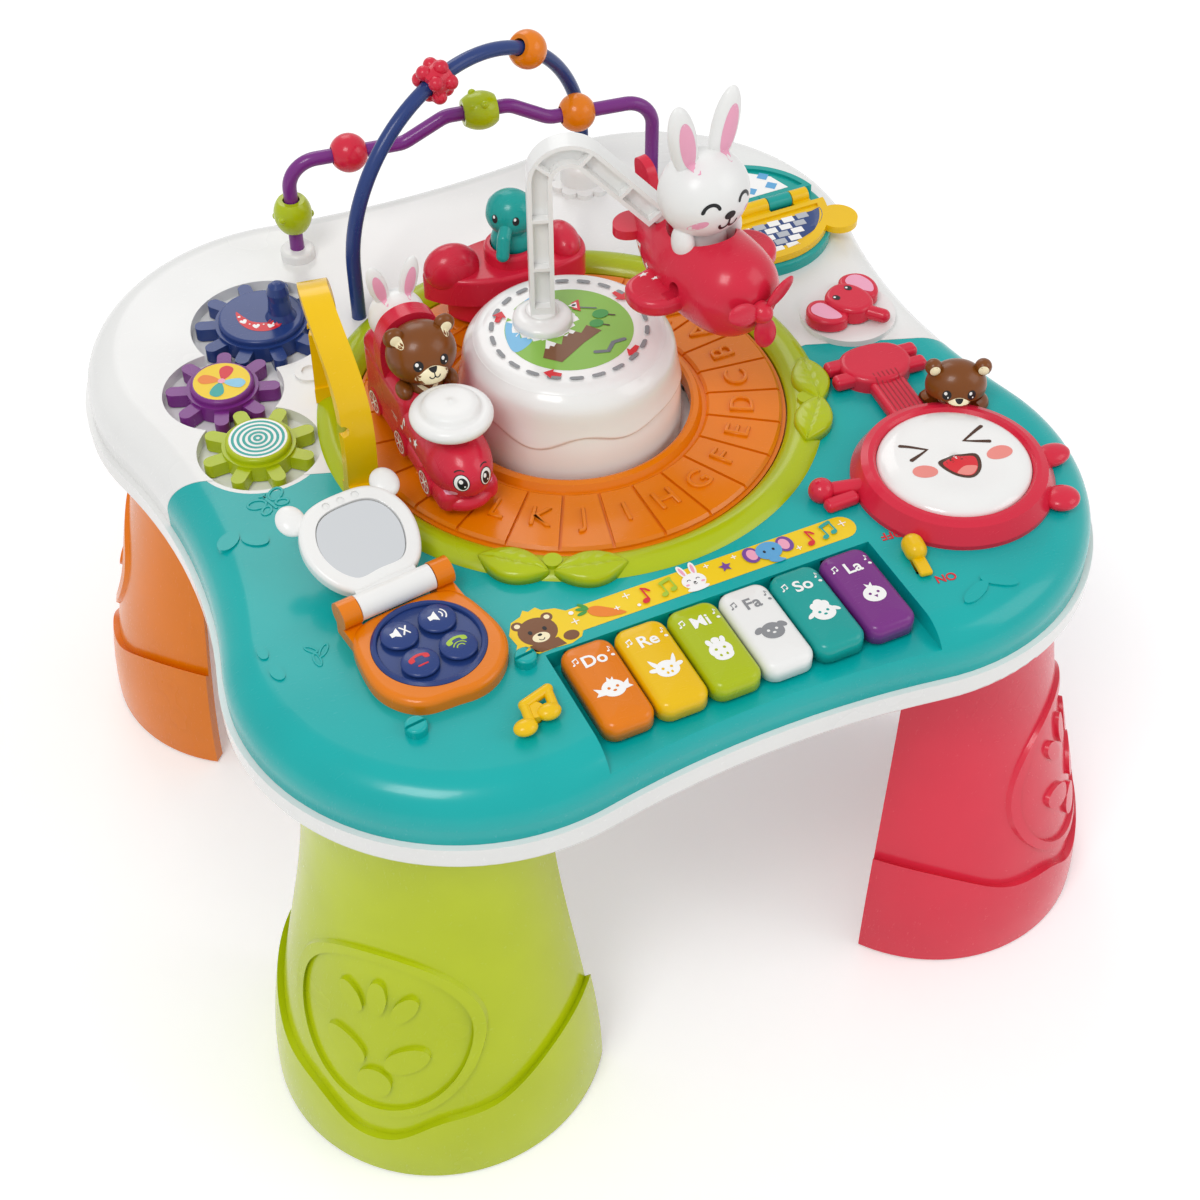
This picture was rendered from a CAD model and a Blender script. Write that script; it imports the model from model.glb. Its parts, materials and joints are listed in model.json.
"""Looks of the musical activity table: moulded plastics, printed films and raised letters.

Lengths in the calls below are millimetres in the table's frame; meshes are stored in metres.
"""
import json
import math
import bmesh
import bpy
from mathutils import Matrix, Vector
from mathutils.bvhtree import BVHTree

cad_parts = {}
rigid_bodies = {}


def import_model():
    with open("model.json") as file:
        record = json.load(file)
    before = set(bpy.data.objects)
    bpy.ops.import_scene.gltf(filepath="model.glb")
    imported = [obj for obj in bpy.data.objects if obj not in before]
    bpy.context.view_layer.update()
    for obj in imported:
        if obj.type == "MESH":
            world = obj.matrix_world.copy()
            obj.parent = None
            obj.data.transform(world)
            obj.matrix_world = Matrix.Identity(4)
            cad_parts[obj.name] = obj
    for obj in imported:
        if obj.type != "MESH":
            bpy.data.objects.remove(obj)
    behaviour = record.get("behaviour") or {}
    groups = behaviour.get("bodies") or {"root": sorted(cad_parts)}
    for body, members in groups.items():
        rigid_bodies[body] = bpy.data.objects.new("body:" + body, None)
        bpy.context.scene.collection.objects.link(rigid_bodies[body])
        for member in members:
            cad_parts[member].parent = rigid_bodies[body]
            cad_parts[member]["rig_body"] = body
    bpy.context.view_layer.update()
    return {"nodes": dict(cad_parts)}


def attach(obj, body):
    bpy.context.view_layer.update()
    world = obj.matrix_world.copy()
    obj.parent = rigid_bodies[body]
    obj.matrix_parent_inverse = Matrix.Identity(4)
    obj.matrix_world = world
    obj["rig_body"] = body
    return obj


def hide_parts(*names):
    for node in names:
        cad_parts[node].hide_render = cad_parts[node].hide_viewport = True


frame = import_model()
NODES = frame["nodes"]
MM = 0.001
TAU = 2 * math.pi

# Heights and places that the prints share with the moulded parts
TOP = 269.0
CREST = TOP + 4.0
HUB = TOP + 47.0
RIDE = TOP + 4.5
LEAF_CIRCLE = 123.9
TRACK_FACE = TOP + 0.9
PIANO_X0, KEY_PITCH = -80.4, 26.8
KEY_HEIGHT = 10.5
KEY_TOP = TOP - 10.0 + 2.6 + KEY_HEIGHT
KEY_GAP = 1.3
LETTER_CIRCLE = 88.0


def moved(x, y, z=0.0):
    return Matrix.Translation((x, y, z))


def turned(degrees, axis="Z"):
    return Matrix.Rotation(math.radians(degrees), 4, axis)


TRAIN = moved(-78.0, -6.0, RIDE)
PLANE = moved(56.0, -26.0, CREST + 84.0) @ turned(10)
BOAT = moved(85 * math.cos(math.radians(87)), 85 * math.sin(math.radians(87)), RIDE) @ turned(267)
PHONE = moved(-131.0, -131.0, TOP) @ turned(7)
DRUM = moved(144.0, -134.0, TOP)
LAMP = moved(172.0, -90.0, TOP) @ turned(-25)
BOOK = moved(152.0, 93.0, TOP)
SPINNER = moved(163.0, -1.0, TOP) @ turned(25)


# Camera
def photograph_camera():
    """The camera as solved from points of the table in the photograph."""
    az, el = math.radians(-24.451), math.radians(40.247)
    back = Vector((math.sin(az) * math.cos(el), -math.cos(az) * math.cos(el), math.sin(el)))
    across = Vector((math.cos(az), math.sin(az), 0.0))
    up = back.cross(across)
    roll = math.radians(-0.856)
    rows = Matrix((math.cos(roll) * across + math.sin(roll) * up,
                   -math.sin(roll) * across + math.cos(roll) * up, back))
    pan = Matrix.Rotation(math.radians(0.84), 3, "Y")
    tilt = Matrix.Rotation(math.radians(5.773), 3, "X")
    data = bpy.data.cameras.new("photograph")
    data.lens = 60.585
    data.sensor_width = 36.0
    data.clip_end = 20.0
    cam = bpy.data.objects.new("photograph", data)
    bpy.context.scene.collection.objects.link(cam)
    turn = (tilt @ pan @ rows).transposed().to_4x4()
    cam.matrix_world = Matrix.Translation(Vector((-326.857, -718.849, 941.43)) * MM) @ turn
    bpy.context.scene.camera = cam


photograph_camera()


# Finishes
def linear(code):
    """Written colour (hex, as seen) to scene values."""
    out = []
    for i in (0, 2, 4):
        c = int(code[i:i + 2], 16) / 255
        out.append(c / 12.92 if c <= 0.04045 else ((c + 0.055) / 1.055) ** 2.4)
    return (*out, 1.0)


def grouped(name, inputs, outputs):
    """Empty shader node group with named sockets, its input and output nodes."""
    tree = bpy.data.node_groups.new(name, "ShaderNodeTree")
    for label, kind, value in inputs:
        item = tree.interface.new_socket(label, in_out="INPUT", socket_type=kind)
        if value is not None:
            item.default_value = value
    for label, kind in outputs:
        tree.interface.new_socket(label, in_out="OUTPUT", socket_type=kind)
    return tree, tree.nodes.new("NodeGroupInput"), tree.nodes.new("NodeGroupOutput")


def noise(tree, vector, scale, detail, rough=0.5):
    node = tree.nodes.new("ShaderNodeTexNoise")
    node.inputs["Scale"].default_value = scale
    node.inputs["Detail"].default_value = detail
    node.inputs["Roughness"].default_value = rough
    tree.links.new(vector, node.inputs["Vector"])
    return node.outputs["Fac"]


def ranged(tree, value, low, high, a=0.0, b=1.0):
    """Map Range whose ends may be numbers or sockets."""
    node = tree.nodes.new("ShaderNodeMapRange")
    tree.links.new(value, node.inputs["Value"])
    for label, end in (("From Min", a), ("From Max", b), ("To Min", low), ("To Max", high)):
        if isinstance(end, (int, float)):
            node.inputs[label].default_value = end
        else:
            tree.links.new(end, node.inputs[label])
    return node.outputs["Result"]


def blended(tree, how, factor, first, second):
    node = tree.nodes.new("ShaderNodeMix")
    node.data_type = "RGBA"
    node.blend_type = how
    node.clamp_result = True
    for socket, value in ((node.inputs[0], factor), (node.inputs[6], first), (node.inputs[7], second)):
        if isinstance(value, (int, float, tuple)):
            socket.default_value = value
        else:
            tree.links.new(value, socket)
    return node.outputs[2]


def sums(tree, operation, *values):
    """Output of a Math node whose inputs are numbers or sockets."""
    node = tree.nodes.new("ShaderNodeMath")
    node.operation = operation
    for socket, value in zip(node.inputs, values):
        if isinstance(value, (int, float)):
            socket.default_value = value
        else:
            tree.links.new(value, socket)
    return node.outputs[0]


def moulding_group():
    """Moulded plastic: slow tint drift, flow marks, fine orange peel and small scuffs."""
    tree, gin, gout = grouped(
        "moulded plastic",
        [("Vector", "NodeSocketVector", None), ("Colour", "NodeSocketColor", (0.8, 0.8, 0.8, 1)),
         ("Drift", "NodeSocketFloat", 0.06), ("Roughness", "NodeSocketFloat", 0.3),
         ("Scuff", "NodeSocketFloat", 0.12)],
        [("Colour", "NodeSocketColor"), ("Roughness", "NodeSocketFloat"), ("Height", "NodeSocketFloat")])
    vector = gin.outputs["Vector"]
    slow = noise(tree, vector, 14.0, 3.0)
    peel = noise(tree, vector, 900.0, 2.0, 0.6)
    stretch = tree.nodes.new("ShaderNodeMapping")
    stretch.inputs["Scale"].default_value = (60.0, 260.0, 60.0)
    stretch.inputs["Rotation"].default_value = (0.3, 0.2, 0.6)
    tree.links.new(vector, stretch.inputs["Vector"])
    scratch = noise(tree, stretch.outputs["Vector"], 4.0, 6.0, 0.7)
    scuff = ranged(tree, scratch, 0.0, gin.outputs["Scuff"], 0.60, 0.76)
    dark = blended(tree, "MULTIPLY", 1.0, gin.outputs["Colour"], (0.80, 0.80, 0.82, 1))
    amount = sums(tree, "MULTIPLY", ranged(tree, slow, 0.0, 4.0, 0.35, 0.65), gin.outputs["Drift"])
    tint = blended(tree, "MIX", amount, gin.outputs["Colour"], dark)
    tree.links.new(tint, gout.inputs["Colour"])
    rough = sums(tree, "ADD", sums(tree, "ADD", gin.outputs["Roughness"], scuff),
                 ranged(tree, slow, -0.03, 0.03, 0.3, 0.7))
    tree.links.new(rough, gout.inputs["Roughness"])
    tree.links.new(ranged(tree, peel, 0.0, 1.0, 0.3, 0.7), gout.inputs["Height"])
    return tree


MOULDED = moulding_group()


def plastic(name, code, rough=0.25, drift=0.10, coat=0.15, scuff=0.10, bump=0.00001, metal=0.0):
    """A moulded finish of one colour, on the shared moulding group."""
    made = bpy.data.materials.new(name)
    made.use_nodes = True
    tree = made.node_tree
    shader = tree.nodes["Principled BSDF"]
    where = tree.nodes.new("ShaderNodeTexCoord")
    group = tree.nodes.new("ShaderNodeGroup")
    group.node_tree = MOULDED
    group.inputs["Colour"].default_value = linear(code)
    group.inputs["Drift"].default_value = drift
    group.inputs["Roughness"].default_value = rough
    group.inputs["Scuff"].default_value = scuff
    tree.links.new(where.outputs["Object"], group.inputs["Vector"])
    tree.links.new(group.outputs["Colour"], shader.inputs["Base Color"])
    tree.links.new(group.outputs["Roughness"], shader.inputs["Roughness"])
    lump = tree.nodes.new("ShaderNodeBump")
    lump.inputs["Strength"].default_value = 0.35
    lump.inputs["Distance"].default_value = bump
    tree.links.new(group.outputs["Height"], lump.inputs["Height"])
    tree.links.new(lump.outputs["Normal"], shader.inputs["Normal"])
    shader.inputs["Coat Weight"].default_value = coat
    shader.inputs["Coat Roughness"].default_value = 0.08
    shader.inputs["Specular IOR Level"].default_value = 0.32
    shader.inputs["Metallic"].default_value = metal
    return made


def ink(name, code):
    """Printed film or pad-printed ink: thin, smooth, a little uneven."""
    return plastic(name, code, rough=0.38, drift=0.05, coat=0.15, scuff=0.06, bump=0.000004)


TEAL = plastic("teal panel plastic", "02AEAC")
TEAL_TOY = plastic("teal toy plastic", "0EA39C")
WHITE = plastic("white casing plastic", "EEEEEC", drift=0.05)
WHITE_TOY = plastic("white toy plastic", "F1F1EF", drift=0.05, rough=0.3)
WHITE_GLOSS = plastic("white hub plastic", "F3F3F1", drift=0.04, rough=0.2, coat=0.5)
LIME = plastic("lime plastic", "B3C40A")
LIME_LEG = plastic("lime leg plastic", "BCCB0C", drift=0.12)
ORANGE = plastic("orange plastic", "EA7F00")
ORANGE_LEG = plastic("orange leg plastic", "EA7D00")
RED = plastic("red toy plastic", "DA2440")
RED_LEG = plastic("red leg plastic", "E23048")
YELLOW = plastic("yellow plastic", "F3C400")
NAVY = plastic("navy plastic", "263F7E")
PURPLE = plastic("purple plastic", "7C2D86")
BROWN = plastic("brown bear plastic", "7E4512", rough=0.3)
BLUE_LEG = plastic("blue leg plastic", "1C86CC")
STEEL = plastic("zinc plated steel", "B9BCC0", rough=0.3, coat=0.0, metal=1.0)
BOARD = plastic("green circuit board", "1F6B3C", rough=0.45)
BLACK = plastic("black plastic", "1B1B1D", rough=0.4)
MIRROR = plastic("silvered mirror film", "E9ECEF", rough=0.05, drift=0.02, coat=0.6, scuff=0.03, metal=1.0)

FINISH = {
    "base_tray": WHITE, "front_panel": TEAL, "back_panel": WHITE, "battery_door": WHITE, "case_screws": STEEL,
    "leg_front_left": LIME_LEG, "leg_front_right": RED_LEG, "leg_back_left": ORANGE_LEG, "leg_back_right": BLUE_LEG,
    "vine_ring": LIME, "letter_track": ORANGE, "hub_cover": WHITE_GLOSS, "drive_wheel": WHITE_TOY,
    "motor_pinion": BLACK, "drive_motor": STEEL, "sound_module": BOARD, "plane_arm": WHITE_TOY,
    "plane_body": RED, "propeller": RED, "plane_rabbit": WHITE_TOY, "train_body": RED, "train_funnel": WHITE_TOY,
    "train_bear": BROWN, "train_rabbit": WHITE_TOY, "boat_body": RED, "boat_elephant": TEAL_TOY,
    "track_gate": YELLOW, "purple_rail": PURPLE, "navy_rail": NAVY, "small_gear": LIME, "middle_gear": PURPLE,
    "crank_gear": NAVY, "phone_base": ORANGE, "phone_keypad": NAVY, "phone_lid": WHITE_TOY,
    "phone_mirror": MIRROR, "note_button": YELLOW, "power_switch": YELLOW, "drum_body": RED,
    "drum_skin": WHITE_GLOSS, "bear_lamp": BROWN, "elephant_spinner": RED, "book_base": TEAL_TOY,
    "book_page": YELLOW, "bead_foot": LIME, "bead_red": RED, "bead_lime": LIME, "bead_orange": ORANGE,
    "bead_flower": RED, "bead_top": ORANGE, "key_do": ORANGE, "key_re": YELLOW, "key_mi": LIME,
    "key_fa": WHITE_TOY, "key_so": TEAL_TOY, "key_la": PURPLE, "button_mute": NAVY, "button_sound": NAVY,
    "button_call": NAVY, "button_end": NAVY,
}
for node_name, node in NODES.items():
    node.data.materials.clear()
    node.data.materials.append(FINISH.get(node_name, WHITE))

INK = {label: ink(label + " ink", code) for label, code in {
    "black": "17171A", "white": "FAFAF8", "pink": "F2A9C4", "blush": "EE8F86", "red": "DC2B36", "grey": "8D8F92",
    "cream": "FBEFC8", "brown": "7D5030", "dark_brown": "4A2C1C", "grass": "8CC04B", "leaf": "3E9B43",
    "water": "7CC1EA", "yellow": "F6D21B", "orange": "EE8422", "violet": "7A4A9E", "navy": "22407C",
    "sky": "5FA9DB", "silver": "B9BEC6", "teal": "2AA8A0", "pale_blue": "8FCDE8", "lime": "A9C93A",
    "wine": "9C1F2C", "road": "6F7378"}.items()}


# Flat outlines, millimetres
def oval(x, y, rx, ry=None, turn=0.0, count=26):
    ry = rx if ry is None else ry
    c, s = math.cos(math.radians(turn)), math.sin(math.radians(turn))
    out = []
    for i in range(count):
        a = TAU * i / count
        u, v = rx * math.cos(a), ry * math.sin(a)
        out.append((x + u * c - v * s, y + u * s + v * c))
    return out


def between(p0, p1, p2, p3, t):
    """Point at t from p1 to p2 on a soft line through four points."""
    return tuple(0.5 * (2 * p1[k] + (p2[k] - p0[k]) * t + (2 * p0[k] - 5 * p1[k] + 4 * p2[k] - p3[k]) * t * t
                        + (3 * p1[k] - p0[k] - 3 * p2[k] + p3[k]) * t ** 3) for k in (0, 1))


def smooth(points, steps=5):
    """Closed soft outline through the points."""
    n, out = len(points), []
    for i in range(n):
        p0, p1, p2, p3 = (points[(i + k) % n] for k in (-1, 0, 1, 2))
        for j in range(steps):
            out.append(between(p0, p1, p2, p3, j / steps))
    return out


def stroke(points, width):
    """Outline of a pen line with round ends."""
    left, right, n = [], [], len(points)
    for i, p in enumerate(points):
        a, b = points[max(i - 1, 0)], points[min(i + 1, n - 1)]
        d = math.dist(a, b) or 1.0
        nx, ny = -(b[1] - a[1]) / d * width / 2, (b[0] - a[0]) / d * width / 2
        left.append((p[0] + nx, p[1] + ny))
        right.append((p[0] - nx, p[1] - ny))
    def cap(p, q):
        c = ((p[0] + q[0]) / 2, (p[1] + q[1]) / 2)
        a0 = math.atan2(p[1] - c[1], p[0] - c[0])
        return [(c[0] + width / 2 * math.cos(a0 - math.pi * k / 4), c[1] + width / 2 * math.sin(a0 - math.pi * k / 4))
                for k in (1, 2, 3)]
    return left + cap(left[-1], right[-1]) + right[::-1] + cap(right[0], left[0])


def bow(x, y, r, a0, a1, width, count=12):
    """Pen line along an arc, angles in degrees."""
    pts = [(x + r * math.cos(math.radians(a0 + (a1 - a0) * i / count)),
            y + r * math.sin(math.radians(a0 + (a1 - a0) * i / count))) for i in range(count + 1)]
    return stroke(pts, width)


def star(x, y, r, turn=90.0, inner=0.45, points=5):
    out = []
    for i in range(points * 2):
        a = math.radians(turn + 180 * i / points)
        k = r if i % 2 == 0 else r * inner
        out.append((x + k * math.cos(a), y + k * math.sin(a)))
    return out


def pair(x, y, *rest):
    """An oval and its mirror twin either side of the middle."""
    return [oval(k * x, y, *rest) for k in (-1, 1)]


def shifted(shapes, x=0.0, y=0.0, turn=0.0, size=1.0):
    c, s = math.cos(math.radians(turn)) * size, math.sin(math.radians(turn)) * size
    return [[(x + u * c - v * s, y + u * s + v * c) for u, v in shape] for shape in shapes]


def quaver(pair=False):
    """A note, about 6 wide and 10 high, around the origin."""
    if pair:
        return [oval(-3, -3.6, 1.9, 1.4, 20), oval(2.6, -2.6, 1.9, 1.4, 20), stroke([(-1.5, -3.4), (-1.5, 3.6)], 0.9),
                stroke([(4.1, -2.4), (4.1, 4.6)], 0.9), stroke([(-1.5, 3.6), (4.1, 4.6)], 2.0)]
    return [oval(-1.2, -3.6, 2.0, 1.5, 20), stroke([(0.5, -3.4), (0.5, 4.4)], 0.9),
            stroke([(0.5, 4.2), (2.2, 3.0), (3.2, 1.2)], 1.2)]


# Meshes
def linked(name, mesh):
    made = bpy.data.objects.new(name, mesh)
    bpy.context.scene.collection.objects.link(made)
    return made


def baked(source):
    """The evaluated mesh of a scratch object, which is then removed."""
    bpy.context.view_layer.update()
    graph = bpy.context.evaluated_depsgraph_get()
    mesh = bpy.data.meshes.new_from_object(source.evaluated_get(graph), depsgraph=graph)
    data, kind = source.data, source.type
    bpy.data.objects.remove(source)
    if kind in ("CURVE", "FONT"):
        bpy.data.curves.remove(data)
    elif kind == "MESH":
        bpy.data.meshes.remove(data)
    return mesh


def outline_mesh(shapes, depth=0.0, bevel=0.0):
    """Flat or thick mesh of closed outlines; an outline inside another is a hole."""
    data = bpy.data.curves.new("outline", "CURVE")
    data.dimensions = "2D"
    data.fill_mode = "BOTH"
    data.extrude = depth / 2
    data.bevel_depth = bevel
    data.bevel_resolution = 2
    for shape in shapes:
        spline = data.splines.new("POLY")
        spline.points.add(len(shape) - 1)
        for point, (x, y) in zip(spline.points, shape):
            point.co = (x, y, 0, 1)
        spline.use_cyclic_u = True
    return baked(linked("outline", data))


def word_mesh(text, size, depth=0.0, bevel=0.0, bold=0.0):
    data = bpy.data.curves.new("word", "FONT")
    data.body = text
    data.size = size
    data.align_x = "CENTER"
    data.align_y = "CENTER"
    data.offset = bold
    data.extrude = depth / 2
    data.bevel_depth = bevel
    data.bevel_resolution = 2
    data.resolution_u = 4
    return baked(linked("word", data))


def closed_mesh(bm, name, flat_caps=False):
    """Plain mesh with outward faces, smooth all over or except on its caps."""
    bmesh.ops.recalc_face_normals(bm, faces=bm.faces[:])
    for f in bm.faces:
        f.smooth = not flat_caps or len(f.verts) == 4
    mesh = bpy.data.meshes.new(name)
    bm.to_mesh(mesh)
    bm.free()
    return mesh


def joined(name, parts, body, place=Matrix.Identity(4)):
    """One piece from (mesh, matrix, finish) parts in millimetres of `place`, riding on a body."""
    whole = bpy.data.meshes.new(name)
    bm = bmesh.new()
    slots = []
    for mesh, matrix, finish in parts:
        if finish not in slots:
            slots.append(finish)
        start = len(bm.faces)
        mesh.transform(Matrix.Scale(MM, 4) @ place @ matrix)
        bm.from_mesh(mesh)
        bm.faces.ensure_lookup_table()
        for i in range(start, len(bm.faces)):
            bm.faces[i].material_index = slots.index(finish)
        bpy.data.meshes.remove(mesh)
    bm.to_mesh(whole)
    bm.free()
    for finish in slots:
        whole.materials.append(finish)
    piece = linked(name, whole)
    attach(piece, body)
    return piece


FIELDS = {}


def surface_of(mesh):
    return BVHTree.FromPolygons([v.co for v in mesh.vertices], [p.vertices[:] for p in mesh.polygons])


def field(node_name):
    if node_name not in FIELDS:
        FIELDS[node_name] = surface_of(NODES[node_name].data)
    return FIELDS[node_name]


def print_on(name, node_name, place, layers, fine=2.0, reach=60.0, lift=0.10, deep=None):
    """Ink laid on moulded faces: each layer of outlines or words is draped down the film's own z axis."""
    surface = field(node_name)
    scale = Matrix.Scale(MM, 4) @ place
    away = (scale.to_3x3() @ Vector((0, 0, 1))).normalized()
    whole = bmesh.new()
    slots = []
    for level, (finish, shapes) in enumerate(layers):
        made = finish if not isinstance(finish, str) else INK[finish]
        if made not in slots:
            slots.append(made)
        # each outline is filled by itself, because overlaps in one fill would cancel
        sources = [outline_mesh([s]) for s in shapes if not isinstance(s, dict)]
        for s in shapes:
            if isinstance(s, dict) and "rings" in s:
                sources.append(outline_mesh(s["rings"]))
            elif isinstance(s, dict):
                mesh = word_mesh(s["text"], s["size"], bold=s.get("bold", 0.0))
                mesh.transform(moved(s.get("x", 0), s.get("y", 0)) @ turned(s.get("turn", 0)))
                sources.append(mesh)
        for order, mesh in enumerate(sources):
            bm = bmesh.new()
            bm.from_mesh(mesh)
            bpy.data.meshes.remove(mesh)
            bmesh.ops.triangulate(bm, faces=bm.faces[:])
            for _ in range(5):
                long = [e for e in bm.edges if e.calc_length() > fine]
                if not long:
                    break
                bmesh.ops.subdivide_edges(bm, edges=long, cuts=1)
                bmesh.ops.triangulate(bm, faces=bm.faces[:])
            lost = []
            for v in bm.verts:
                start = scale @ Vector((v.co.x, v.co.y, reach))
                spot, _, _, fall = surface.ray_cast(start, -away, 2 * reach * MM)
                if spot is None or (deep and abs(fall - reach * MM) > deep * MM):
                    lost.append(v)
                else:
                    v.co = spot + away * (lift + 0.05 * level + 0.004 * order) * MM
            bmesh.ops.delete(bm, geom=lost, context="VERTS")
            for f in bm.faces:
                f.normal_update()
                f.smooth = True
                if f.normal.dot(away) < 0:
                    f.normal_flip()
                f.material_index = slots.index(made)
            spare = bpy.data.meshes.new("spare")
            bm.to_mesh(spare)
            bm.free()
            whole.from_mesh(spare)
            bpy.data.meshes.remove(spare)
    mesh = bpy.data.meshes.new(name)
    whole.to_mesh(mesh)
    whole.free()
    for made in slots:
        mesh.materials.append(made)
    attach(linked(name, mesh), NODES[node_name]["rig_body"])


# Leaves of the ring
def skinned(rows):
    """Closed mesh from equal rings of points, capped at both ends."""
    bm = bmesh.new()
    made = [[bm.verts.new(p) for p in row] for row in rows]
    n = len(rows[0])
    for a, b in zip(made, made[1:]):
        for i in range(n):
            bm.faces.new((a[i], a[(i + 1) % n], b[(i + 1) % n], b[i]))
    bm.faces.new(made[0])
    bm.faces.new(made[-1])
    return closed_mesh(bm, "skin", flat_caps=True)


def leaf_mesh(half_length, half_width, thick):
    """Veined leaf, folded along its middle, with its edge turned down."""
    bm = bmesh.new()
    along, across = 36, 20
    grid = []
    for i in range(along + 1):
        u = -1 + 2 * i / along
        row = []
        for j in range(across + 1):
            v = -1 + 2 * j / across
            w = half_width * (1 - u * u) * 0.98 + 0.05
            swell = math.sqrt(max(1 - v * v, 0.0)) * (1 - u ** 4)
            fold = 0.9 * math.exp(-(v / 0.12) ** 2)
            vein = fold + 0.22 * (1 + math.cos(17 * (u - 0.45 * abs(v)))) * (1 - abs(v)) * (1 - u * u)
            row.append(bm.verts.new((u * half_length, v * w, thick + 3.0 * swell - vein)))
        grid.append(row)
    for i in range(along):
        for j in range(across):
            bm.faces.new((grid[i][j], grid[i + 1][j], grid[i + 1][j + 1], grid[i][j + 1]))
    rim = [e for e in bm.edges if e.is_boundary]
    wall = bmesh.ops.extrude_edge_only(bm, edges=rim)["geom"]
    for v in [g for g in wall if isinstance(g, bmesh.types.BMVert)]:
        v.co.z = 0.0
    bmesh.ops.holes_fill(bm, edges=[e for e in bm.edges if e.is_boundary])
    return closed_mesh(bm, "leaf")


def ring_leaves():
    parts = []
    for angle, spread in ((241, 8.5), (333, 7.0)):
        for side in (-1, 1):
            a = math.radians(angle + side * spread)
            place = moved(LEAF_CIRCLE * math.cos(a), LEAF_CIRCLE * math.sin(a),
                          TOP + 0.2) @ turned(angle + 90 + side * 14)
            parts.append((leaf_mesh(17.6, 9.8, 5.0), place, LIME))
    joined("ring_leaves", parts, "table")


ring_leaves()


# Letter track
def track_letters():
    """Raised letters, A to Z clockwise, one in the middle of each tile."""
    parts = []
    step = 360.0 / 26
    for i, letter in enumerate("ABCDEFGHIJKLMNOPQRSTUVWXYZ"):
        angle = step * (1 - i)
        a = math.radians(angle)
        mesh = word_mesh(letter, 17.5, depth=1.3, bevel=0.7, bold=-0.55)
        parts.append((mesh, moved(LETTER_CIRCLE * math.cos(a), LETTER_CIRCLE * math.sin(a),
                                  TRACK_FACE + 0.25) @ turned(angle + 90), ORANGE))
    joined("track_letters", parts, "table")


track_letters()


# Hub
def revolved(rings, count=144):
    """Closed mesh from rings of (radius, height) at each angle; the first and last rings sit on the axis."""
    bm = bmesh.new()
    rows = []
    for ring in rings:
        row = []
        for i in range(count):
            r, z = ring(TAU * i / count) if callable(ring) else ring
            row.append(bm.verts.new((r * math.cos(TAU * i / count), r * math.sin(TAU * i / count), z)))
            if not callable(ring) and ring[0] == 0:
                break
        rows.append(row)
    for a, b in zip(rows, rows[1:]):
        for i in range(count):
            corners = []
            for v in (a[i % len(a)], a[(i + 1) % len(a)], b[(i + 1) % len(b)], b[i % len(b)]):
                if v not in corners:
                    corners.append(v)
            if len(corners) > 2:
                bm.faces.new(corners)
    return closed_mesh(bm, "revolved")


def eased(points, steps=8):
    """Open soft line through (radius, height) points."""
    out = []
    for i in range(len(points) - 1):
        p0, p1, p2, p3 = points[max(i - 1, 0)], points[i], points[i + 1], points[min(i + 2, len(points) - 1)]
        for j in range(steps):
            out.append(between(p0, p1, p2, p3, j / steps))
    return out + [points[-1]]


def hub_shell():
    """Cake-shaped cover whose icing ends in one soft wavy step."""
    side = eased([(57.0, TOP - 8.0), (56.0, TOP + 12.0), (53.5, TOP + 26.0), (51.5, HUB - 9), (46.6, HUB - 2.6)], 22)

    def icing(r, z):
        def at_angle(a):
            edge = TOP + 19.5 + 2.6 * math.sin(6 * a + 0.4) + 1.5 * math.sin(4 * a + 1.0) + 0.8 * math.sin(9 * a)
            t = min(max((z - edge) / 0.9, 0.0), 1.0)
            return r + 1.25 * t * t * (3 - 2 * t), z
        return at_angle
    crown = eased([(47.8, HUB - 2.6), (45.6, HUB - 1.1), (42.6, HUB - 0.3), (38.0, HUB)], 5)
    rings = [icing(r, z) for r, z in side] + crown + [(0, HUB), (0, HUB - 3), (37, HUB - 3), (47, HUB - 10),
                                                      (50, TOP + 24),
                                                      (53.6, TOP - 7), (54, TOP - 8), (57.0, TOP - 8)]
    collar = [(0, -1), (15.0, -1)] + eased([(15.0, 1.0), (14.5, 3.2), (12.4, 4.7), (9.8, 5.3), (8.5, 6.2), (8.1, 7.4),
                                            (7.0, 8.0)], 5)
    joined("hub_shell", [(revolved(rings, 180), moved(0, 0), WHITE_GLOSS),
                         (revolved(collar + [(0, 8.0)], 60), moved(-9.0, 12.0, HUB), WHITE_GLOSS)],
                         NODES["hub_cover"]["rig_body"])
    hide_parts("hub_cover")


hub_shell()


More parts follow.
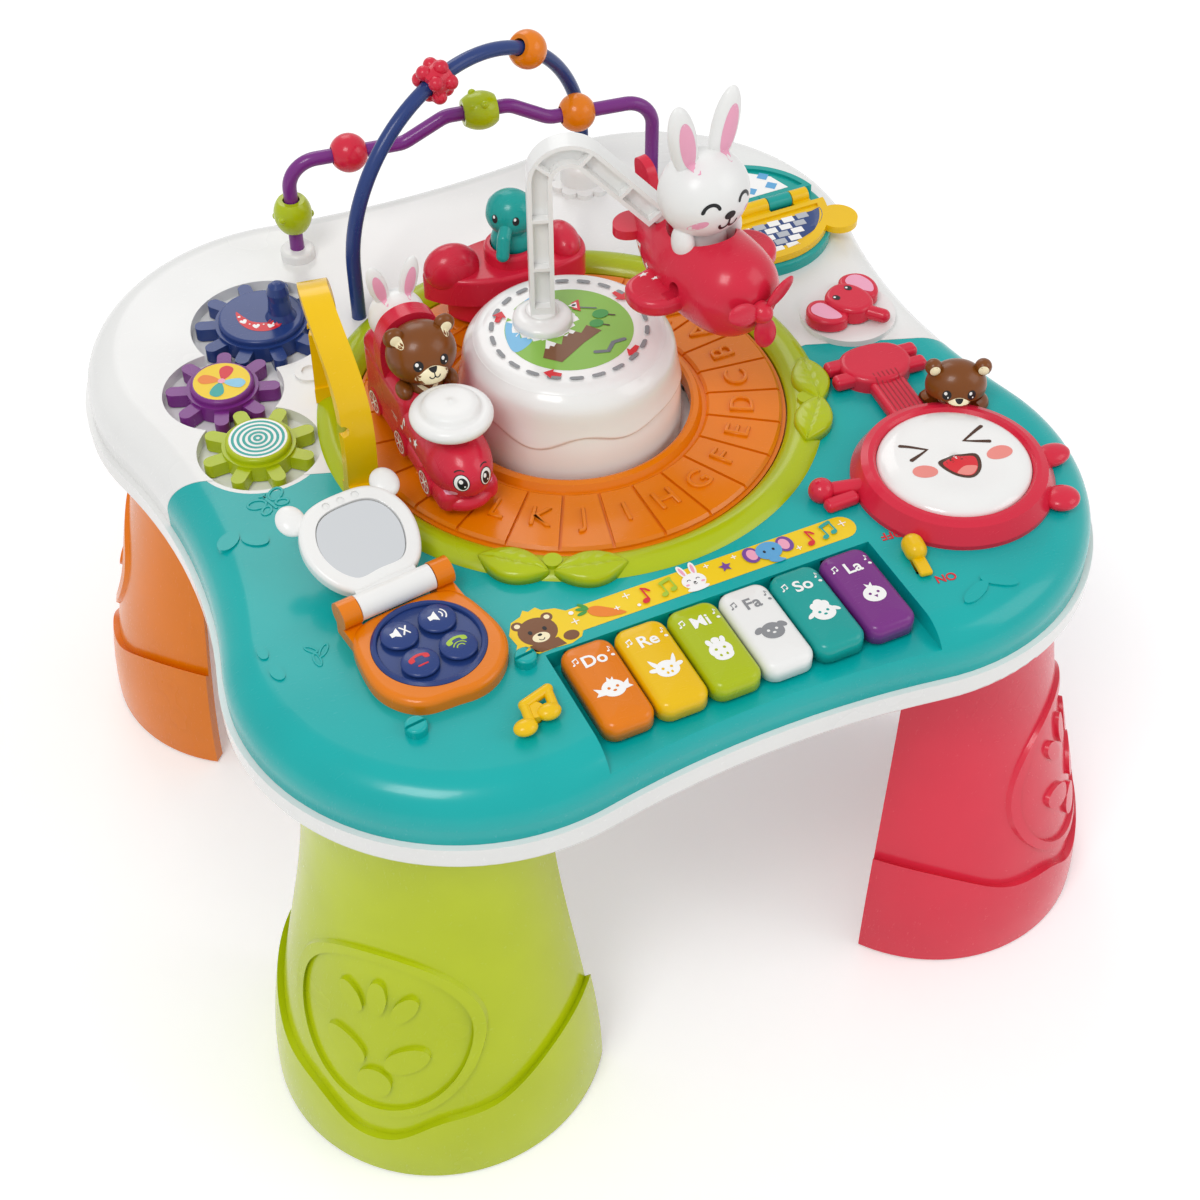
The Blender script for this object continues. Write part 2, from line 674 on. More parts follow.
def hub_picture():
    top = moved(0, 0, HUB)
    dashes = []
    for i in range(22):
        a = 360 * i / 22 + 5
        dashes.append(bow(0, 0, 38.6, a - 3.6, a + 3.6, 2.3, 4))
    arrow = [(-4.5, -1.2), (0, -1.6), (0, -3.6), (4.5, 0), (0, 3.6), (0, 1.6), (-4.5, 1.2)]
    arrows = []
    for angle in (140, 20, 232, 305):
        a = math.radians(angle)
        arrows += shifted([arrow], 36 * math.cos(a), 36 * math.sin(a), angle - 90)
    land = oval(0, 0, 32, count=60)
    water = smooth([(-31, 7), (-24, 21), (-10, 30.4), (-2, 32), (-6, 22), (-14, 14), (-17, 5), (-22, -2), (-31.5, -5)])
    river = [stroke([(-26, 6), (-24, 7.5), (-22, 6), (-20, 7.5)], 0.6),
             stroke([(-12, 24), (-10, 25.5), (-8, 24), (-6, 25.5)], 0.6)]
    rock = [(-21, -15), (-14, -4), (-8.5, -9.5), (-2, 1), (4, -5.5), (9, -1), (14, -8), (2, -13), (-14, -22)]
    caps = [[(-17, -9), (-14, -3), (-10.5, -7.5), (-12.5, -9.5), (-14, -8), (-15.5, -10)],
            [(-5, -4), (-2, 2), (2, -3), (0, -4.5), (-1.5, -3), (-3.5, -5)]]
    road = [stroke([(4, -22), (10, -24), (15, -19), (21, -19)], 2.4)]
    trees = [oval(19, 4, 4.2, 3.4), oval(14, -2, 3.6, 3.0)]
    trunks = [stroke([(19, 4), (25, 0)], 1.0), stroke([(14, -2), (19, -6)], 0.9)]
    sign = [(5, 17), (14, 19), (11, 10)]
    print_on("hub_picture", "hub_cover", top, [
        ("grass", [land]), ("water", [water]), ("white", river), ("brown", [rock]), ("white", caps), ("road", road),
        ("dark_brown", trunks), ("leaf", trees), ("road", [stroke([(12, 13), (19, 9)], 0.9)]), ("red", [sign]),
        ("white", [[(7, 16.5), (12, 17.6), (10.4, 12.6)]]), ("black", [oval(9.8, 15.6, 1.1, 0.8)]),
        ("grey", dashes), ("red", arrows)], fine=6.0, deep=1.5)


hub_picture()


# Figures' faces
def face_place(seat, x, y, z, tilt=0.0, turn=0.0):
    """Film plane in front of a face looking along -Y, raised by tilt degrees."""
    return seat @ moved(x, y, z) @ turned(turn) @ turned(90 - tilt, "X")


def rabbit_face(name, node, seat, s):
    """Closed smiling eyes, nose, mouth, cheeks and inner ears; s is the figure's scale."""
    place = face_place(seat, 0, -0.84 * s, 1.84 * s, 22)
    eyes = [bow(k * 0.42 * s, -0.02 * s, 0.17 * s, 15, 165, 0.075 * s) for k in (-1, 1)]
    nose = [oval(0, -0.20 * s, 0.14 * s, 0.09 * s)]
    mouth = [bow(k * 0.11 * s, -0.36 * s, 0.11 * s, 190, 350, 0.055 * s) for k in (-1, 1)]
    mouth.append(stroke([(0, -0.24 * s), (0, -0.37 * s)], 0.055 * s))
    cheeks = [oval(k * 0.62 * s, -0.26 * s, 0.16 * s, 0.085 * s, -k * 6) for k in (-1, 1)]
    print_on(name + "_face", node, place, [("pink", cheeks), ("black", eyes + nose + mouth)], fine=0.12 * s,
             reach=1.2 * s)


def inner_ears(name, node, seat, s, lean):
    for side, k in (("left", -1), ("right", 1)):
        ear = seat @ moved(k * 0.38 * s, 0.02 * s, 2.35 * s) @ turned(k * lean, "Y") @ moved(0, -0.2 * s, 0.75 * s)
        print_on(name + "_ear_" + side, node, ear @ turned(90, "X"),
                 [("pink", [oval(0, -0.02 * s, 0.19 * s, 0.58 * s)])], fine=0.14 * s, reach=0.6 * s)


def bear_face(name, node, seat, s, chest=True):
    place = face_place(seat, 0, -0.88 * s, 1.90 * s, 24)
    eyes = pair(0.40 * s, 0.05 * s, 0.14 * s, 0.17 * s)
    glints = [oval(k * 0.40 * s - 0.04 * s, 0.11 * s, 0.05 * s, 0.06 * s) for k in (-1, 1)]
    glints += [oval(k * 0.40 * s + 0.04 * s, -0.03 * s, 0.025 * s, 0.03 * s) for k in (-1, 1)]
    muzzle = smooth([(0, -0.02 * s), (0.30 * s, -0.14 * s), (0.52 * s, -0.34 * s), (0.30 * s, -0.54 * s),
                     (0, -0.58 * s),
                     (-0.30 * s, -0.54 * s), (-0.52 * s, -0.34 * s), (-0.30 * s, -0.14 * s)])
    nose = [smooth([(-0.12 * s, -0.06 * s), (0.12 * s, -0.06 * s), (0.08 * s, -0.18 * s), (0, -0.22 * s),
                    (-0.08 * s, -0.18 * s)])]
    mouth = [stroke([(0, -0.20 * s), (0, -0.30 * s)], 0.035 * s)]
    mouth += [bow(k * 0.08 * s, -0.30 * s, 0.08 * s, 190, 350, 0.035 * s) for k in (-1, 1)]
    print_on(name + "_face", node, place, [("cream", [muzzle]), ("black", eyes + nose + mouth), ("white", glints)],
             fine=0.12 * s, reach=1.3 * s)
    for side, k in (("left", -1), ("right", 1)):
        ear = seat @ moved(k * 0.78 * s, -0.2 * s, 2.48 * s)
        print_on(name + "_ear_" + side, node, ear @ turned(90, "X"), [("cream", [oval(0, 0, 0.17 * s, 0.17 * s)])],
                 fine=0.12 * s, reach=0.6 * s)
    if chest:
        mark = [(-0.36 * s, 0.22 * s), (-0.22 * s, 0.24 * s), (0, 0.04 * s), (0.22 * s, 0.24 * s),
                (0.36 * s, 0.22 * s), (0, -0.18 * s)]
        print_on(name + "_chest", node, face_place(seat, 0, -0.6 * s, 0.72 * s, 10), [("cream", [mark])], fine=0.1 * s,
                 reach=0.9 * s)


PLANE_RABBIT = PLANE @ moved(0, -2, 2)
TRAIN_RABBIT = TRAIN @ moved(0, 38, 31)
TRAIN_BEAR = TRAIN @ moved(0, 6, 27)
BOAT_ELEPHANT = BOAT @ moved(0, 2, 31) @ turned(55)
rabbit_face("plane_rabbit", "plane_rabbit", PLANE_RABBIT, 22.5)
inner_ears("plane_rabbit", "plane_rabbit", PLANE_RABBIT, 22.5, 12)
rabbit_face("train_rabbit", "train_rabbit", TRAIN_RABBIT, 14.2)
inner_ears("train_rabbit", "train_rabbit", TRAIN_RABBIT, 14.2, 14)
bear_face("train_bear", "train_bear", TRAIN_BEAR, 16.5)


def elephant_marks():
    s = 14.0
    place = face_place(BOAT_ELEPHANT, 0, -0.9 * s, 1.9 * s, 14)
    eyes = pair(0.40 * s, 0.10 * s, 0.12 * s, 0.17 * s)
    glints = [oval(k * 0.40 * s - 0.03 * s, 0.17 * s, 0.045 * s, 0.06 * s) for k in (-1, 1)]
    print_on("boat_elephant_eyes", "boat_elephant", place, [("black", eyes), ("white", glints)], fine=1.6, reach=16)
    for side, k in (("left", -1), ("right", 1)):
        ear = BOAT_ELEPHANT @ moved(k * 1.18 * s, 0.10 * s, 1.75 * s) @ turned(k * 90) @ turned(90, "X")
        print_on("boat_elephant_ear_" + side, "boat_elephant", ear, [("pink", [oval(0, 0, 0.40 * s, 0.48 * s)])],
                 fine=1.6, reach=10)


elephant_marks()


def engine_face():
    place = face_place(TRAIN, 0, -58, 18, 16)
    whites = pair(6.2, 5.6, 3.1, 4.2)
    rims = pair(6.2, 5.6, 3.5, 4.6)
    pupils = pair(6.0, 5.2, 2.2, 3.2)
    glints = [oval(k * 6.0 - 0.6, 6.5, 0.9, 1.1) for k in (-1, 1)] + [oval(k * 6.0 + 0.8, 3.8, 0.45) for k in (-1, 1)]
    brows = [bow(k * 6.2, 9.0, 3.0, 50, 130, 0.55) for k in (-1, 1)]
    cheeks = pair(10.2, -1.2, 2.2, 1.6)
    smile = [bow(0, -2.6, 2.6, 205, 335, 0.6)]
    print_on("engine_face", "train_body", place, [("pink", cheeks), ("black", rims + brows), ("white", whites),
             ("black", pupils), ("white", glints), ("wine", smile)], fine=1.8, reach=30)
    for k, label in ((-1, "left"), (1, "right")):
        side = TRAIN @ moved(k * 26, 0, 0) @ turned(k * 90) @ turned(90, "X")
        wheels = []
        for y in (-30, 2, 36):
            x = k * y
            wheels.append({"rings": [oval(x, 7.6, 6.0), oval(x, 7.6, 5.2)]})
            wheels += [stroke([(x + 0.8 * math.cos(a), 7.6 + 0.8 * math.sin(a)),
                               (x + 5.4 * math.cos(a), 7.6 + 5.4 * math.sin(a))], 0.8)
                       for a in [TAU * i / 8 for i in range(8)]]
            wheels.append(oval(x, 7.6, 1.5))
        marks = [star(k * -20, 24, 2.6), star(k * -14, 21.5, 1.8)]
        marks += shifted(quaver(), k * -4, 24, 0, 0.75)
        marks += [stroke([(k * 3, 22), (k * 10, 22)], 0.5), stroke([(k * 3, 20.4), (k * 8, 20.4)], 0.5)]
        print_on("engine_side_" + label, "train_body", side, [("white", wheels + marks)], fine=3.0, reach=24)


engine_face()


def plane_prints():
    for k, label in ((-1, "left"), (1, "right")):
        side = PLANE @ moved(k * 30, 0, 0) @ turned(k * 90) @ turned(62, "X")
        notes = shifted(quaver(True), k * 27, 4, 0, 0.9) + shifted(quaver(), k * 19, 0, 0, 0.8)
        notes += [star(k * 12, 3.0, 2.0), star(k * 6, 1.2, 1.5), star(k * 0.5, 2.6, 1.2)]
        notes.append(stroke([(k * 22.5, 5.0), (k * 22.5, 2.6)], 0.5))
        notes.append(stroke([(k * 22.5 - 1.2, 3.8), (k * 22.5 + 1.2, 3.8)], 0.5))
        print_on("plane_notes_" + label, "plane_body", side, [("white", notes)], fine=2.5, reach=40)


plane_prints()


# Drum, lamp, spinner
def drum_face():
    eyes = [stroke([(-22, 16), (-10, 10.5), (-21, 5)], 2.1), stroke([(22, 16), (10, 10.5), (21, 5)], 2.1)]
    cheeks = [oval(-18, -4, 6.6, 4.6), oval(22, -4, 6.6, 4.6)]
    mouth = smooth([(-9, 0.4), (0, 2.0), (11.4, 0.4), (9.6, -9.4), (2.4, -15), (-5, -10.4)])
    inner = smooth([(-7.0, -0.9), (0, 0.4), (9.4, -0.9), (8.0, -8.6), (2.4, -13.2), (-3.8, -9.2)])
    tongue = smooth([(-3.0, -8.8), (2.4, -6.0), (7.6, -7.6), (6.4, -10.2), (2.4, -12.8), (-1.8, -11.0)])
    print_on("drum_face", "drum_skin", DRUM @ turned(-6), [("blush", cheeks), ("dark_brown", eyes + [mouth]),
                                                           ("red", [inner]),
             ("blush", [tongue])], fine=3.0, reach=30)
    strings = [stroke([(x, 47), (x, 77)], 0.55) for x in (-6.2, -3.7, -1.2, 1.3, 3.8, 6.3)]
    print_on("drum_strings", "drum_body", DRUM @ turned(-5), [("wine", strings)], fine=6.0, reach=30)


drum_face()
bear_face("lamp", "bear_lamp", LAMP @ moved(0, 0, 17.0 - 1.75 * 15.5), 15.5, chest=False)


def spinner_marks():
    eyes = pair(5.4, 4.6, 1.9, 2.2)
    glints = [oval(k * 5.4 - 0.5, 5.4, 0.7) for k in (-1, 1)]
    ears = [smooth([(k * 11, 9), (k * 17, 12), (k * 21.5, 8), (k * 20, -1), (k * 13.5, -5)]) for k in (-1, 1)]
    print_on("spinner_marks", "elephant_spinner", SPINNER, [("pink", ears), ("black", eyes), ("white", glints)],
             fine=2.5,
             reach=30)


spinner_marks()


# Piano
def mirrored(shape):
    return [shape, [(-u, v) for u, v in shape]]


def animal_head(kind, x, y):
    """(main ink shapes, cut-back shapes) of a small animal-head print."""
    head, eyes, nose = [oval(0, 0, 5.6, 5.0)], pair(2.1, 0.6, 0.75), [oval(0, -1.4, 0.9, 0.6)]
    if kind == "chick":
        head.append([(-1.6, 4), (-0.4, 7.2), (0.6, 5), (2.2, 6.6), (2.0, 4)])
        head += mirrored([(-5, 1), (-8.6, 3.4), (-7.4, 0), (-9, -1.6), (-5, -2.4)])
    elif kind == "cow":
        head += mirrored(smooth([(-3, 3.6), (-6.4, 8), (-5.4, 3), (-3, 2)], 3))
        head += mirrored(oval(-6.2, 1.2, 2.2, 1.2, -20))
        nose = pair(1.1, -2.4, 0.6, 0.8)
    elif kind == "horse":
        head += [oval(0, -3.0, 4.8, 3.8)] + mirrored(oval(-3.4, 5.4, 1.3, 2.2, 14)) + [oval(0, 6.0, 2.0, 1.8)]
        nose = pair(1.6, -3.4, 0.6, 0.8)
    elif kind == "dog":
        head += mirrored(oval(-6, 2.4, 2.4, 1.7, 30))
    elif kind == "sheep":
        head += pair(2.6, 4.6, 2.2) + [oval(0, 6.0, 2.4)] + mirrored(oval(-6.2, 0.4, 2.4, 1.2, 30))
    else:
        head.append([(-1.4, 4.4), (-1.8, 7.4), (0, 5.8), (1.8, 7.4), (1.4, 4.4)])
        nose = [[(-1.0, -1.0), (1.0, -1.0), (0, -2.8)]]
    return shifted(head, x, y), shifted(eyes + nose, x, y)


def rounded_ring(half_x, y0, y1, radius, z, count=8):
    """Points of a rectangle with round corners at one height."""
    out = []
    for cx, cy, start in ((half_x - radius, y1 - radius, 0), (-half_x + radius, y1 - radius, 90),
                          (-half_x + radius, y0 + radius, 180), (half_x - radius, y0 + radius, 270)):
        for i in range(count + 1):
            a = math.radians(start + 90 * i / count)
            out.append((cx + radius * math.cos(a), cy + radius * math.sin(a), z))
    return out


def soft_key(node_name, index):
    """Key with a crowned top and generously rounded shoulders in place of the plain one."""
    half, front, rear, corner, shoulder = (KEY_PITCH - KEY_GAP) / 2, -208.2, -155.2, 6.8, 4.2
    crown = 0.7
    rows = [rounded_ring(half, front, rear, corner, 0.0)]
    for k in range(9):
        t = math.radians(90 * k / 8)
        inset = shoulder * (1 - math.cos(t))
        rows.append(rounded_ring(half - inset, front + inset, rear - inset, corner - inset,
                                 KEY_HEIGHT - crown - shoulder * (1 - math.sin(t))))
    for k in range(1, 7):
        t = k / 6
        inset = shoulder + t * (half - shoulder - 0.4)
        rows.append(rounded_ring(half - inset, front + inset, rear - inset, max(corner - inset, 0.3),
                                 KEY_HEIGHT - crown * (1 - t) ** 2))
    piece = joined("cap_" + node_name, [(skinned(rows), moved(PIANO_X0 + (index + 0.5) * KEY_PITCH, 0,
                                                              KEY_TOP - KEY_HEIGHT), FINISH[node_name])],
                   NODES[node_name]["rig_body"])
    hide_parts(node_name)
    FIELDS[node_name] = surface_of(piece.data)


for order, tone in enumerate(("do", "re", "mi", "fa", "so", "la")):
    soft_key("key_" + tone, order)


def key_prints():
    rows = (("do", "Do", "chick", ORANGE), ("re", "Re", "cow", YELLOW), ("mi", "Mi", "horse", LIME),
            ("fa", "Fa", "dog", WHITE_TOY), ("so", "So", "sheep", TEAL_TOY), ("la", "La", "hen", PURPLE))
    for i, (node, text, kind, under) in enumerate(rows):
        cx = PIANO_X0 + (i + 0.5) * KEY_PITCH
        top = moved(cx, 0, KEY_TOP)
        head, cut = animal_head(kind, 0.6, -187.5)
        colour = "grey" if node == "fa" else "white"
        marks = shifted(quaver(True), -8.4, -166.0, 8, 0.36) + shifted(quaver(), 8.8, -164.6, 0, 0.34)
        marks += shifted([oval(0, 0, 1.4, 1.1)], 9.4, -168.6, 0, 0.7)
        print_on("print_" + node, "key_" + node, top, [
            (colour, head + marks + [{"text": text, "size": 9.4, "x": 0.2, "y": -168.5, "bold": 0.22}]), (under, cut)],
            fine=4.0, reach=20)


key_prints()


def strip():
    """Yellow film with small pictures along the back of the piano."""
    place = moved(-2.5, -140.2, TOP) 
    tape = [(-74, -7.4)] + [(80 + 7.4 * math.cos(t),
                             7.4 * math.sin(t)) for t in [math.radians(-90 + 18 * i) for i in range(11)]]
    tape += [(-62, 7.4), (-66, 11), (-72, 12.6), (-74, 15.4), (-78, 14.2), (-80, 16), (-82.6, 12.8), (-88, 11),
             (-92, 4), (-91, -3),
             (-94, -8), (-91, -12.4), (-84, -12), (-76, -11.6), (-68, -12.4), (-62, -10.4), (-60, -7.4)]
    bear = [oval(-79, 1.0, 9.4, 8.6), oval(-86.4, 7.6, 2.8), oval(-71.6, 7.6, 2.8), oval(-86.6, -9.6, 3.0, 2.4),
            oval(-66, -7.6, 3.8, 3.0)]
    bear.append([(-86, -6), (-72, -6), (-70, -11.6), (-87, -11.6)])
    bear_pale = [oval(-79, -3.0, 4.2, 3.0), oval(-86.4, 7.6, 1.4), oval(-71.6, 7.6, 1.4)]
    bear_dark = [oval(-82.6, 1.4, 1.0, 1.3), oval(-75.4, 1.4, 1.0, 1.3), oval(-79, -1.4, 1.1, 0.8),
                 bow(-79, -3.4, 1.4, 200, 340, 0.4)]
    carrot = [smooth([(-53, 3.4), (-49, 4.2), (-44, 1), (-37, -5.6), (-46, -4.6), (-52, -1)])]
    tops = [oval(-55, 4.6, 3.2, 1.1, -20), oval(-54, 6.4, 2.8, 1.0, -50), oval(-56, 2.2, 2.6, 1.0, 8)]
    rabbit = [oval(0, -1.4, 6.0, 5.0), oval(-2.8, 6.0, 1.7, 4.4, 8), oval(2.8, 6.0, 1.7, 4.4, -8),
              oval(0, -6.4, 5.6, 1.6)]
    rabbit_pink = [oval(-2.8, 6.0, 0.8, 3.0, 8), oval(2.8, 6.0, 0.8, 3.0, -8), oval(-4, -3, 1.0, 0.6),
                   oval(4, -3, 1.0, 0.6)]
    rabbit_dark = [bow(-2.3, -1.0, 0.9, 20, 160, 0.35), bow(2.3, -1.0, 0.9, 20, 160, 0.35), oval(0, -2.4, 0.7, 0.5),
                   bow(0, -2.9, 0.8, 200, 340, 0.3)]
    purple_star = [star(17.5, 0.4, 3.4)]
    ears = [oval(32, 1.6, 4.2, 5.2), oval(50, 1.6, 4.2, 5.2)]
    ears_in = [oval(32.4, 1.6, 2.6, 3.6), oval(49.6, 1.6, 2.6, 3.6)]
    trunk = [oval(41, 0.8, 6.6, 5.8), smooth([(39, -3), (38.6, -6), (42, -8), (46, -7.4), (44, -5.6), (43, -3)])]
    trunk_dark = [oval(38.6, 0.8, 0.7, 0.9), oval(43.4, 0.8, 0.7, 0.9)]
    sparkle = []
    for x, y, r in ((-33, 3.6, 1.7), (-61, -1.0, 1.8), (-40, -1.6, 1.2), (9.4, 4.6, 1.2), (24, 4.4, 1.2),
                    (55, -3.6, 1.2), (81.6, 2.0, 2.0)):
        sparkle += [stroke([(x - r, y), (x + r, y)], 0.55), stroke([(x, y - r), (x, y + r)], 0.55)]
    sparkle += [oval(-60.6, 4.6, 1.2), oval(-30, -4.4, 0.9)]
    red_notes = shifted(quaver(), -25, 0.2, 6, 1.0) + shifted(quaver(), 62.5, 0, 6, 1.0)
    green_notes = shifted(quaver(True), -13.6, 0, 6, 0.95)
    blue_notes = shifted(quaver(True), 72.5, 0.6, 6, 0.95)
    print_on("strip_film", "front_panel", place, [
        ("yellow", [tape]), ("brown", bear), ("cream", bear_pale), ("black", bear_dark), ("orange", carrot),
        ("leaf", tops),
        ("white", rabbit + sparkle), ("pink", rabbit_pink), ("black", rabbit_dark), ("violet", purple_star),
        ("violet", ears),
        ("pink", ears_in), ("sky", trunk), ("black", trunk_dark), ("red", red_notes), ("lime", green_notes),
        ("teal", blue_notes)],
        fine=6.0, reach=20, lift=0.15)


strip()


# Raised line pictures on the panels
def raised_lines():
    wings = []
    for k in (-1, 1):
        wings += [[oval(k * 5.6, 3.4, 4.9, 3.5, k * 28), oval(k * 5.6, 3.4, 4.0, 2.6, k * 28)],
                  [oval(k * 4.6, -3.2, 3.5, 2.6, -k * 30), oval(k * 4.6, -3.2, 2.6, 1.7, -k * 30)]]
    wings += [[stroke([(0, -4.6), (0, 4.2)], 1.3)], [bow(-2.2, 4.4, 2.4, 0, 75, 0.7)],
              [bow(2.2, 4.4, 2.4, 180, 105, 0.7)]]
    sprig = [[oval(0, 0, 4.4, 1.8, 60), oval(0, 0, 3.6, 1.1, 60)],
             [oval(6, 1.4, 4.4, 1.8, 20), oval(6, 1.4, 3.6, 1.1, 20)],
             [oval(3.0, 6.4, 3.6, 1.5, 100), oval(3.0, 6.4, 2.8, 0.9, 100)]]
    swirl = [[bow(0, 0, 5.2, 20, 300, 0.9)], [bow(1.0, 0, 2.8, 200, 470, 0.8)], [stroke([(5.0, 1.8), (9.4, 3.0)], 0.8)]]
    parts = []
    for picture, x, y, turn in ((wings, -163.0, -5.0, 18), (swirl, -143.0, -21.0, -8), (sprig, -178.0, -112.0, 30)):
        for rings in picture:
            parts.append((outline_mesh(rings, depth=0.7, bevel=0.2), moved(x, y, TOP) @ turned(turn), TEAL))
    joined("raised_lines", parts, "table")


raised_lines()


# Gears
def gear_films():
    crescent = smooth([(-13.5, 3), (-11, -6), (-4, -12.5), (5, -13.4), (12, -8.5), (14.4, -1), (11, -3.5), (4, -6.4),
                       (-4, -5.4),
                       (-9.4, -1)])
    hearts = []
    for x, y, turn in ((-8.6, -5.4, 30), (-1.6, -9.4, 8), (6.0, -9.2, -14), (11.0, -5.2, -40)):
        heart = smooth([(0, -1.9), (1.9, 0.2), (1.5, 1.5), (0.6, 1.6), (0, 0.8), (-0.6, 1.6), (-1.5, 1.5),
                        (-1.9, 0.2)], 3)
        hearts += shifted([heart], x, y, turn, 1.0)
    hearts += [oval(-11.4, -1.4, 0.8), oval(12.8, -1.8, 0.7), oval(2.2, -8.0, 0.5), oval(-5.2, -7.6, 0.5)]
    print_on("crank_film", "crank_gear", moved(-121, 129.06, TOP) @ turned(-24),
             [("red", [crescent]), ("white", hearts)],
             fine=4.0, reach=8.0)
    fan = []
    for i, tone in enumerate(("red", "orange", "teal", "pale_blue")):
        blade = smooth([(1.0, 0.4), (6, 0.6), (10.6, 3.6), (9.6, 8.0), (5.6, 8.4), (2.6, 5.0)], 4)
        fan.append((tone, shifted([blade], 0, 0, 90 * i + 20)))
    print_on("fan_film", "middle_gear", moved(-157, 85.84, TOP), [("yellow", [oval(0, 0, 14.6, count=40)])] + fan
             + [("pink", [oval(0, 0, 1.9)])], fine=4.0, reach=20)
    rings = [("white", [oval(0, 0, 14.6, count=40)])]
    for r in (13.4, 10.6, 7.8, 5.0, 2.4):
        rings.append(("teal", [{"rings": [oval(0, 0, r, count=36), oval(0, 0, r - 1.4, count=36)]}]))
    print_on("target_film", "small_gear", moved(-154.6, 35.9, TOP), rings, fine=4.0, reach=20)


gear_films()


# Phone
def phone_prints():
    spots = (("mute", -9.7, 9.9), ("sound", 9.7, 9.9), ("call", 9.7, -9.5), ("end", -9.7, -9.5))
    speaker = [[(-4.2, -1.3), (-2.4, -1.3), (0, -3.2), (0, 3.2), (-2.4, 1.3), (-4.2, 1.3)]]
    handset = smooth([(-5, -0.6), (-4.4, 1.2), (0, 2.4), (4.4, 1.2), (5, -0.6), (4.4, -1.6), (2.4, -1.2), (2.0, 0.4),
                      (0, 0.8), (-2.0, 0.4),
                      (-2.4, -1.2), (-4.4, -1.6)], 3)
    for label, x, y in spots:
        place = PHONE @ moved(x, y, 11.0)
        if label == "sound":
            layers = [("white", speaker + [bow(0.4, 0, 2.2, -45, 45, 0.7), bow(0.4, 0, 4.0, -45, 45, 0.7)])]
        elif label == "mute":
            layers = [("white", speaker + [stroke([(1.4, -2.4), (4.4, 2.4)], 0.8),
                                           stroke([(1.4, 2.4), (4.4, -2.4)], 0.8)])]
        elif label == "call":
            layers = [("lime", shifted([handset], 0, 1.6) + [bow(0, -3.4, 2.0, 20, 160, 0.6),
                                                             bow(0, -3.4, 3.6, 30, 150, 0.6)])]
        else:
            layers = [("red", shifted([handset], 0, 1.2) + [stroke([(-2.2, -3.2), (2.2, -3.2)], 0.9)])]
        print_on("print_" + label, "button_" + label, place, layers, fine=2.5, reach=10)


phone_prints()


# Switch words
def switch_words():
    parts = []
    for text, x, y in (("OFF", 97.0, -155.0), ("ON", 104.6, -190.5)):
        mesh = word_mesh(text, 6.6, depth=0.3, bevel=0.05, bold=0.05)
        parts.append((mesh, moved(x, y, TOP + 0.15) @ turned(172), INK["red"]))
    joined("switch_words", parts, "table")


switch_words()


# Book
def book_films():
    half_x, half_y = 48.0, 47.0
    window = [(-half_x + 9, -14), (half_x - 9, -14)] + [((half_x - 9) * math.cos(t), -14 - (half_y - 25) * math.sin(t))
                                                         for t in [math.pi * i / 20 for i in range(1, 20)]]
    squares, silver = [], []
    for i in range(-4, 5):
        for j in range(0, 5):
            x, y = i * 9.0 + (4.5 if j % 2 else 0), -15.5 - j * 5.4
            if abs(x) < 36 - j * 5.5:
                (squares if (i + j) % 3 else silver).append([(x - 3.6, y - 2.2), (x + 3.2, y - 2.6),
                                                             (x + 3.6, y + 2.0), (x - 3.2, y + 2.4)])
    print_on("page_film_front", "book_page", BOOK, [("navy", [window]), ("white", squares), ("silver", silver)],
             fine=6.0,
             reach=30)
    diamonds = [[(x - 4, y), (x, y - 4), (x + 4, y), (x, y + 4)] for x in (-26, -13, 0, 13, 26) for y in (18, 28)]
    print_on("page_film_back", "book_base", BOOK, [("white", [[(-34, 12.5), (34, 12.5), (30, 26), (18, 36), (-18, 36),
                                                               (-30, 26)]]),
             ("sky", diamonds)], fine=6.0, reach=30)


book_films()


